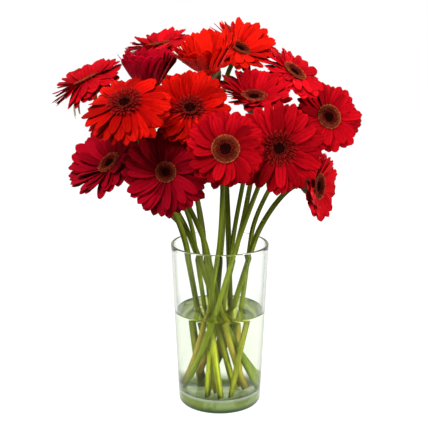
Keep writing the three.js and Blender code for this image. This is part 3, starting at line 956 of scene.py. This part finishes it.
class GERBERA_OT_vase(bpy.types.Operator):
    """Turns the glass vase"""

    bl_idname = "gerbera.vase"
    bl_label = "Vase"

    foot_edge = 12.0

    def execute(self, context):
        settings = context.scene.gerbera_vase
        size = VaseSizes(settings)
        lip = size.wall / 2
        wall_top = size.height - size.below_rim
        corner = size.corner
        profile = [(0, 0), (size.outer(0) - corner - self.foot_edge, 0)]
        profile += arc(size.outer(corner) - corner, corner, corner, -90, 0, size.round_steps)
        profile += size.wall_line(size.outer, size.outer_wall_from, wall_top)
        profile += arc(size.rim - lip, size.height - lip, lip, 0, 180, size.round_steps)
        profile += size.wall_line(size.inner, wall_top, size.inner_wall_from)
        profile += arc(*size.corner_middle, size.inner_corner, 0, -90, size.corner_steps)
        profile += [(size.flat_radius, size.floor), (0, size.floor)]
        shells = Shells()
        turned_shell(shells, profile, size.sides)
        piece = shells.build("glass_vase", [glass_finish("clear pressed glass", settings.glass_tint)])
        dress(piece, "vase", "vase_glass")
        return {"FINISHED"}


class GERBERA_OT_water(bpy.types.Operator):
    """Fills the vase with water that creeps up the glass and round each stem"""

    bl_idname = "gerbera.water"
    bl_label = "Water"

    sink = 0.15
    creep = 1.1
    reach = 1.3
    margin = 0.01
    wall_top = 2.0
    rim_steps = (0, 0.5, 1.2)
    surface_edge = 2.4
    surface_middle = 1.2
    surface_rings = 44

    def execute(self, context):
        settings = context.scene.gerbera_vase
        size = VaseSizes(settings)
        radius = context.scene.gerbera_stem.radius / MM
        places = [line_point(line, size.level) for line in stem_lines()]
        wall = size.inner(size.level) + self.sink

        def lift(x, y, height):
            if height < size.level - self.margin:
                return 0.0
            rise = self.creep * math.exp(-(wall - math.hypot(x, y)) / self.reach)
            for place in places:
                away = math.hypot(x - place.x, y - place.y) - radius
                rise = max(rise, self.creep * math.exp(-max(away, 0) / self.reach))
            return rise

        bottom = size.floor - self.sink
        top = size.level - self.wall_top
        heights = np.linspace(size.inner_wall_from, top, size.corner_steps)
        radii = [wall - step for step in self.rim_steps]
        radii += list(np.linspace(wall - self.surface_edge, self.surface_middle, self.surface_rings))
        profile = [(0, bottom), (size.flat_radius, bottom)]
        profile += arc(*size.corner_middle, size.inner_corner + self.sink, -90, 0, size.corner_steps)
        profile += [(size.inner(h) + self.sink, h) for h in heights]
        profile += [(r, size.level) for r in radii]
        profile += [(0, size.level)]
        shells = Shells()
        turned_shell(shells, profile, size.sides, lift)
        water = water_finish("standing water", settings.water_tint, settings.water_level)
        piece = shells.build("vase_water", [water])
        dress(piece, "water", "water")
        return {"FINISHED"}


def ring_frames(points):
    """Two square directions across a path at each of its points, turned as little as can be."""
    frames = []
    side = Vector((1, 0, 0))
    for k in range(len(points)):
        ahead = (points[min(k + 1, len(points) - 1)] - points[max(k - 1, 0)]).normalized()
        side = (side - ahead * side.dot(ahead)).normalized()
        frames.append((side, ahead.cross(side)))
    return frames


def add_stem(shells, path, flower, radius, tone, cut_index):
    """Adds a ribbed stem from its slanting cut end to the cup of its calyx."""
    facing = Vector(flower.facing).normalized()
    sizes = [radius * (1 - STEM_TAPER * k / len(path)) for k in range(len(path))]
    rings = list(path)
    for height, size in CUP_RINGS:
        rings.append(Vector(flower.at) + facing * height)
        sizes.append(size)
    angles = [2 * math.pi * k / STEM_SIDES for k in range(STEM_SIDES)]
    points = []
    marks = []
    for index, (middle, (side, other)) in enumerate(zip(rings, ring_frames(rings))):
        for angle in angles:
            size = sizes[index] * (1 + STEM_RIB_DEPTH * math.cos(STEM_RIBS * angle))
            point = middle + side * (size * math.cos(angle)) + other * (size * math.sin(angle))
            if index == 0:
                point.z = middle.z + radius * CUT_SLANT * (1 + math.cos(angle))
            points.append(point)
            marks.append((index / len(rings), angle / (2 * math.pi), tone))
    faces = ring_faces(len(rings), STEM_SIDES)
    top = (len(rings) - 1) * STEM_SIDES
    faces.append(tuple(range(top, top + STEM_SIDES)))
    faces.append(tuple(range(STEM_SIDES - 1, -1, -1)))
    shells.add(points, faces, 0, marks)
    shells.finishes[-1] = cut_index


class GERBERA_OT_stems(bpy.types.Operator):
    """Grows each stem with the bracts of its calyx"""

    bl_idname = "gerbera.stems"
    bl_label = "Stems"

    seed = 100
    radius_spread = 0.35
    bract_spread = 0.6
    bract_index = 1
    cut_index = 2
    outer_bracts = Row(18, 6.0, -19.4, 14.5, 3.7, 48, 88, root=0.7, tip=0.3, teeth=0, thickness=0.5,
                       crown=-0.6, along_steps=7, across_steps=4)
    bract_rows = (
        outer_bracts,
        outer_bracts._replace(count=20, start=8.4, height=-16.6, length=13.0, width=3.5, rise=54, curl=92,
                              along_steps=6),
        outer_bracts._replace(count=22, start=10.6, height=-13.2, length=10.0, width=3.2, rise=70, curl=92,
                              crown=-0.5, along_steps=5),
    )

    def execute(self, context):
        settings = context.scene.gerbera_stem
        level = context.scene.gerbera_vase.water_level
        finishes = [
            stem_finish("stem green", settings.green, settings.lit_underwater_green, level),
            bract_finish("calyx bracts", settings.bract_green),
            floret_finish("cut stem end", (0.42, 0.30, 0.10), (0.55, 0.45, 0.18), 0.5),
        ]
        for number, (line, flower) in enumerate(zip(stem_lines(), FLOWERS), 1):
            draw = random.Random(self.seed + number)
            radius = settings.radius / MM + draw.uniform(-self.radius_spread, self.radius_spread)
            shells = Shells()
            add_stem(shells, stem_path(line, flower), flower, radius, draw.random(), self.cut_index)
            axes = flower_axes(flower)
            for row in self.bract_rows:
                bracts = row._replace(turn=draw.uniform(*TURN_RANGE), spread=self.bract_spread)
                add_row(shells, axes, bracts, draw, self.bract_index)
            piece = shells.build(f"flower_stem_{number:02d}", finishes)
            dress(piece, f"stem_{number:02d}", "stem_green")
        return {"FINISHED"}


class GERBERA_OT_petals(bpy.types.Operator):
    """Grows the rows of petals of each flower"""

    bl_idname = "gerbera.petals"
    bl_label = "Petals"

    seed = 200
    hub = ((12.4, -3.4), (13.0, -2.6), (12.6, -1.2), (8, -0.8))
    hub_sides = 32

    def rows(self, flower, settings, draw):
        """The upper, the lower and the inner row of a flower's petals."""
        count = settings.petals_in_row
        turn = draw.uniform(*TURN_RANGE)
        start = ROW_START * flower.eye
        length = flower.reach - start
        width = settings.petal_width / MM * flower.width
        upper = Row(count, start, UPPER_HEIGHT, length, width, flower.rise, flower.curl, flower.fan,
                    flower.side, groove=settings.groove_depth / MM, crown=1.7, tilt=1.3, ruffle=1.2,
                    turn=turn, tip=0.16, narrowing=0.2)
        yield upper
        yield upper._replace(height=LOWER_HEIGHT, length=length + LOWER_EXTRA,
                             rise=flower.rise - LOWER_FOLD, curl=flower.curl - LOWER_FOLD,
                             turn=turn + math.pi / count)
        yield upper._replace(count=count * 2 // 3, height=INNER_HEIGHT, rise=flower.rise + INNER_LIFT,
                             curl=flower.curl + INNER_LIFT / 2, length=length * INNER_REACH,
                             width=INNER_WIDTH * width, turn=turn + INNER_TURN)

    def execute(self, context):
        settings = context.scene.gerbera_flower
        # Each red with its lighter glow and its underside red; the bright and the dark red are partly
        # painted light and shade
        reds = {
            "bright": petal_finish("bright red petal", settings.bright_red, (0.46, 0.006, 0.002),
                                   (0.60, 0.005, 0.002)),
            "middle": petal_finish("crimson petal", settings.middle_red, (0.38, 0.002, 0.005),
                                   (0.36, 0.002, 0.006)),
            "dark": petal_finish("dark crimson petal", settings.dark_red, (0.20, 0.001, 0.006),
                                 (0.36, 0.001, 0.012)),
        }
        pale = floret_finish("pale hanging petal", (0.30, 0.10, 0.03), (0.55, 0.34, 0.12), 0.4)
        slots = {"bright": "petal_bright_red", "middle": "petal_red", "dark": "petal_dark_red"}
        for number, flower in enumerate(FLOWERS, 1):
            draw = random.Random(self.seed + number)
            axes = flower_axes(flower)
            shells = Shells()
            finishes = [reds[flower.red]]
            if number in PALE_NUMBERS:
                finishes.append(pale)
            tone = flower.tone + draw.uniform(-TONE_SPREAD, TONE_SPREAD)
            for row in self.rows(flower, settings, draw):
                add_row(shells, axes, row, draw, 0, tone)
            if number in LOOSE_PETALS:
                add_row(shells, axes, LOOSE_PETALS[number], draw, len(finishes) - 1, LOOSE_TONE)
            add_lathe(shells, axes, self.hub, self.hub_sides)
            piece = shells.build(f"ray_florets_{number:02d}", finishes)
            dress(piece, f"petals_{number:02d}", slots[flower.red])
        return {"FINISHED"}


class Floret(NamedTuple):
    """One kind of disc floret: how far from the eye's middle it grows, the radius and height of its
    rings, how deep each ring is lobed, and the length over which its colour changes."""

    limit: float
    profile: tuple
    lobes: tuple
    length: float
    sides: int


class GERBERA_OT_eyes(bpy.types.Operator):
    """Packs the florets of each eye, and the tuft of short petals round those that have one"""

    bl_idname = "gerbera.eyes"
    bl_label = "Eyes"

    seed = 300
    base = ((13.4, -0.7), (13.6, -0.1), (11.5, 0.8), (5.5, -0.2), (1.0, -0.8))
    base_sides = 32
    florets = (
        Floret(5.9, ((0.5, 0), (0.72, 1.3), (0.62, 2.1), (0.25, 2.7)), (0, 0, 0, 0), 2.7, 7),
        Floret(9.6, ((0.45, 0), (0.6, 1.8), (0.95, 2.6), (0.5, 2.75)), (0, 0, 0.35, 0), 2.8, 8),
        Floret(EYE_RADIUS, ((0.45, 0), (0.55, 2.0), (1.35, 3.0), (0.95, 3.1), (0.3, 2.2)),
               (0, 0, 0.5, 0.5, 0), 3.1, 10),
    )
    root_depth = 2.6
    lean = 4
    outer_lean = 34
    lean_spread = 7
    height_spread = 0.35
    base_index = 1
    collar_index = 3
    tuft_index = 4
    collars = (
        Row(50, 12.6, 0.6, 4.4, 1.7, 58, 12, root=0.7, tip=0.3, teeth=0, thickness=0.4, crown=-0.4,
            along_steps=5, across_steps=2),
    )
    inner_tuft = Row(30, 7.8, 0.6, 6.0, 2.0, 62, 30, root=0.6, tip=0.4, teeth=0, thickness=0.35, crown=-0.4,
                     spread=1.8, along_steps=5, across_steps=2)
    tuft = (
        inner_tuft,
        inner_tuft._replace(count=36, start=10.0, height=0.4, length=8.0, width=2.3, rise=50, curl=14,
                            along_steps=6),
        inner_tuft._replace(count=40, start=12.2, height=0.4, length=10.0, width=2.6, rise=34, curl=4,
                            root=0.5, along_steps=6),
    )

    def shrink(self, shells, middle, share):
        """Scales what has been added about the eye's middle."""
        shells.points = [middle + (points - middle) * share for points in shells.points]

    def add_florets(self, shells, axes, draw, limit):
        """Adds the florets on a golden-angle spiral: buds, half-open ones, then open ones."""
        eye, u, v, w = axes
        for k in range(EYE_FLORETS):
            radius = EYE_RADIUS * math.sqrt((k + 0.5) / EYE_FLORETS)
            if radius > limit:
                break
            angle = k * GOLDEN_ANGLE
            radial = math.cos(angle) * u + math.sin(angle) * v
            across = -math.sin(angle) * u + math.cos(angle) * v
            outer = self.outer_lean * (radius / EYE_RADIUS) ** 2
            lean = math.radians(self.lean + outer + draw.uniform(-self.lean_spread, self.lean_spread))
            axis = math.cos(lean) * w + math.sin(lean) * radial
            outward = math.cos(lean) * radial - math.sin(lean) * w
            top = float(np.interp(radius, EYE_RADII, EYE_HEIGHTS))
            top += draw.uniform(-self.height_spread, self.height_spread)
            root = eye + radius * radial + (top - self.root_depth) * w
            tone = draw.random()
            finish = sum(radius >= floret.limit for floret in self.florets)
            floret = self.florets[finish]
            shades = [(height / floret.length, 0, tone) for _, height in floret.profile]
            add_lathe(shells, (root, outward, across, axis), floret.profile, floret.sides, finish,
                      floret.lobes, shades)

    def execute(self, context):
        finishes = [
            floret_finish("dark bud", (0.0012, 0.0003, 0.0003), (0.004, 0.0008, 0.001), 0.7),
            floret_finish("brown floret", (0.03, 0.001, 0.001), (0.09, 0.007, 0.004), 0.75),
            floret_finish("open floret", (0.06, 0.002, 0.002), (0.17, 0.028, 0.010), 0.85),
            floret_finish("tan collar", (0.12, 0.004, 0.003), (0.30, 0.085, 0.026), 0.7),
            floret_finish("crimson tuft", (0.07, 0.001, 0.001), (0.25, 0.008, 0.007), 0.85),
        ]
        for number, flower in enumerate(FLOWERS, 1):
            draw = random.Random(self.seed + number)
            axes = flower_axes(flower)
            shells = Shells()
            add_lathe(shells, axes, self.base, self.base_sides, self.base_index)
            self.add_florets(shells, axes, draw, TUFTED_EYE_RADIUS if flower.tufted else EYE_RADIUS)
            index = self.tuft_index if flower.tufted else self.collar_index
            for row in (self.tuft if flower.tufted else self.collars):
                add_row(shells, axes, row._replace(turn=draw.uniform(*TURN_RANGE)), draw, index)
            self.shrink(shells, axes[0], flower.eye)
            piece = shells.build(f"disc_florets_{number:02d}", finishes)
            dress(piece, f"eye_{number:02d}", "eye_crimson" if flower.tufted else "eye_brown")
        return {"FINISHED"}


class GERBERA_OT_stage(bpy.types.Operator):
    """Sets the pale floor, the soft studio light and the camera"""

    bl_idname = "gerbera.stage"
    bl_label = "Stage"

    floor_radius = 300.0
    floor_depth = 20.0
    floor_sides = 64

    # Each lamp's name, the setting with its watts, its place and its width and height in metres, and the
    # place that they all point at
    aim = Vector((0, 0, 0.27))
    lamps = (
        ("key", "key_power", (-0.45, -0.8, 1.45), (0.7, 0.7)),
        ("left strip", "left_power", (-1.1, -0.3, 0.5), (0.25, 1.2)),
        ("right strip", "right_power", (1.1, -0.7, 0.6), (0.25, 1.2)),
        ("back", "back_power", (0.6, 1.2, 0.5), (0.9, 0.9)),
    )
    diffuse_only = ("back",)

    # How much of the white backdrop a reflection in the glass leaves out
    mirrored_share = 0.5
    sensor = 36.0

    def add_floor(self, shade, glow):
        """Adds a wide round floor, whose radius is in metres."""
        sides = self.floor_sides
        angles = [2 * math.pi * k / sides for k in range(sides)]
        radius = self.floor_radius / MM
        points = [(radius * math.cos(angle), radius * math.sin(angle), height)
                  for height in (0, -self.floor_depth) for angle in angles]
        faces = [tuple(range(sides)), tuple(range(2 * sides - 1, sides - 1, -1))]
        faces += [(k, sides + k, sides + (k + 1) % sides, (k + 1) % sides) for k in range(sides)]
        shells = Shells()
        shells.add(points, faces)
        floor = shells.build("studio_floor", [floor_finish("white table", shade, glow)], smooth=False)
        floor.visible_diffuse = False

    def add_lamp(self, name, power, place, size):
        data = bpy.data.lights.new(name, "AREA")
        data.shape = "RECTANGLE"
        data.size, data.size_y = size
        data.energy = power
        lamp = bpy.data.objects.new(name, data)
        lamp.location = place
        lamp.rotation_euler = (self.aim - Vector(place)).to_track_quat("-Z", "Y").to_euler()
        lamp.visible_glossy = lamp.visible_transmission = name not in self.diffuse_only
        bpy.context.scene.collection.objects.link(lamp)

    def backdrop(self, seen, light):
        """A white backdrop, as it is seen straight or in the glass, that gives a softer light."""
        world = bpy.data.worlds.new("even light")
        world.use_nodes = True
        nodes = Nodes(world.node_tree)
        mirrored = nodes.light_path("Is Reflection Ray") * self.mirrored_share
        through = nodes.light_path("Is Singular Ray") * (1.0 - mirrored)
        straight = nodes.step(nodes.light_path("Is Camera Ray") + through, 0.0, 1.0)
        direct = straight * nodes.step(nodes.light_path("Diffuse Depth"), 0.2, 0.8, 1.0, 0.0)
        background = world.node_tree.nodes["Background"]
        world.node_tree.links.new((direct * (seen - light) + light).socket, background.inputs["Strength"])
        background.inputs["Color"].default_value = (1, 1, 1, 1)
        return world

    def execute(self, context):
        scene = context.scene
        settings = scene.gerbera_stage
        self.add_floor(settings.floor_shade, settings.floor_glow)
        scene.world = self.backdrop(settings.sky_strength, settings.sky_light)
        for name, power, place, size in self.lamps:
            self.add_lamp(name, getattr(settings, power), place, size)
        data = bpy.data.cameras.new("camera")
        data.lens = settings.lens
        data.sensor_width = self.sensor
        camera = bpy.data.objects.new("camera", data)
        camera.location = (0, -settings.camera_distance, settings.camera_height)
        camera.rotation_euler = (math.pi / 2 - settings.camera_pitch, 0, settings.camera_yaw)
        scene.collection.objects.link(camera)
        scene.camera = camera
        scene.view_settings.view_transform = "Standard"
        scene.cycles.max_bounces = 32
        scene.cycles.glossy_bounces = 24
        scene.cycles.transmission_bounces = 24
        return {"FINISHED"}


class GERBERA_PT_panel(bpy.types.Panel):
    """Lists the pieces and what can be changed on them"""

    bl_idname = "GERBERA_PT_panel"
    bl_label = "Gerberas in a Vase"
    bl_space_type = "VIEW_3D"
    bl_region_type = "UI"
    bl_category = "Gerberas"

    def draw(self, context):
        scene = context.scene
        for group in (scene.gerbera_vase, scene.gerbera_flower, scene.gerbera_stem, scene.gerbera_stage):
            box = self.layout.box()
            for name in group.__annotations__:
                box.prop(group, name)
        for operator in OPERATORS:
            self.layout.operator(operator.bl_idname)


GROUPS = {
    "gerbera_vase": VaseSettings,
    "gerbera_flower": FlowerSettings,
    "gerbera_stem": StemSettings,
    "gerbera_stage": StageSettings,
}
OPERATORS = (
    GERBERA_OT_stage,
    GERBERA_OT_vase,
    GERBERA_OT_water,
    GERBERA_OT_stems,
    GERBERA_OT_petals,
    GERBERA_OT_eyes,
)


def register():
    for name, group in GROUPS.items():
        bpy.utils.register_class(group)
        setattr(bpy.types.Scene, name, PointerProperty(type=group))
    for operator in OPERATORS:
        bpy.utils.register_class(operator)
    bpy.utils.register_class(GERBERA_PT_panel)


def unregister():
    bpy.utils.unregister_class(GERBERA_PT_panel)
    for operator in reversed(OPERATORS):
        bpy.utils.unregister_class(operator)
    for name, group in GROUPS.items():
        delattr(bpy.types.Scene, name)
        bpy.utils.unregister_class(group)


def main():
    register()
    bpy.ops.gerbera.stage()
    bpy.ops.gerbera.vase()
    bpy.ops.gerbera.water()
    bpy.ops.gerbera.stems()
    bpy.ops.gerbera.petals()
    bpy.ops.gerbera.eyes()


if __name__ == "__main__":
    main()
